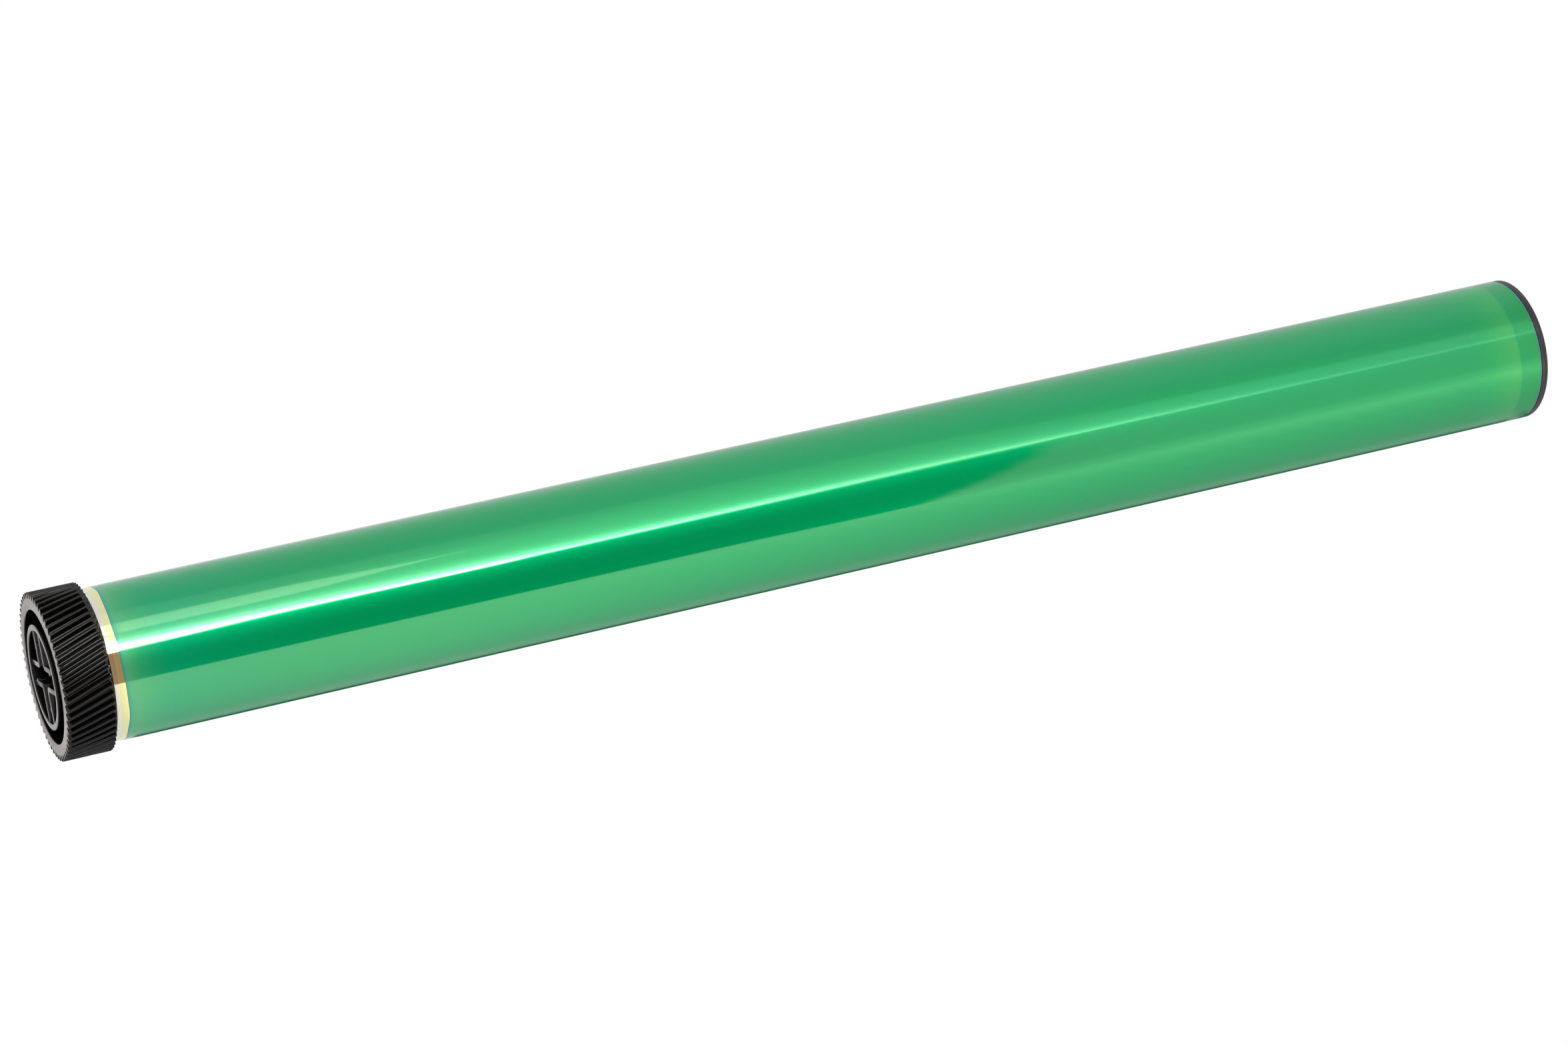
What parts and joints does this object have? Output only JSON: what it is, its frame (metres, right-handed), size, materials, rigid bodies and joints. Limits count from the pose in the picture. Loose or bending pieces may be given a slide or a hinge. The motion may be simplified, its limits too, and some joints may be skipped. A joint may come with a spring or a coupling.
{
  "type": "printer photoconductor drum",
  "caption": "Photoconductor drum for a laser printer: coated aluminium sleeve with a helical gear drive flange at one end and a plain shaft flange at the other.",
  "frame": {"origin": "centre of the plain end flange's outer face, which the drum stands on", "axes": "+Z along the drum's axis towards the gear, with the arms of the cross-shaped socket along X and Y"},
  "size_m": [0.033, 0.033, 0.3244],
  "materials": {
    "coated_sleeve": "glossy green photoconductive coat on drawn aluminium, bare metal at the gear end",
    "black_acetal": "moulded, slightly glossy",
    "charcoal_plastic": "moulded, satin",
    "phosphor_bronze": "stamped spring sheet"
  },
  "bodies": {
    "root": {"drum_tube": "coated_sleeve", "drive_gear_flange": "black_acetal", "end_flange": "charcoal_plastic", "ground_contact_plate": "phosphor_bronze"}
  },
  "joints": []
}
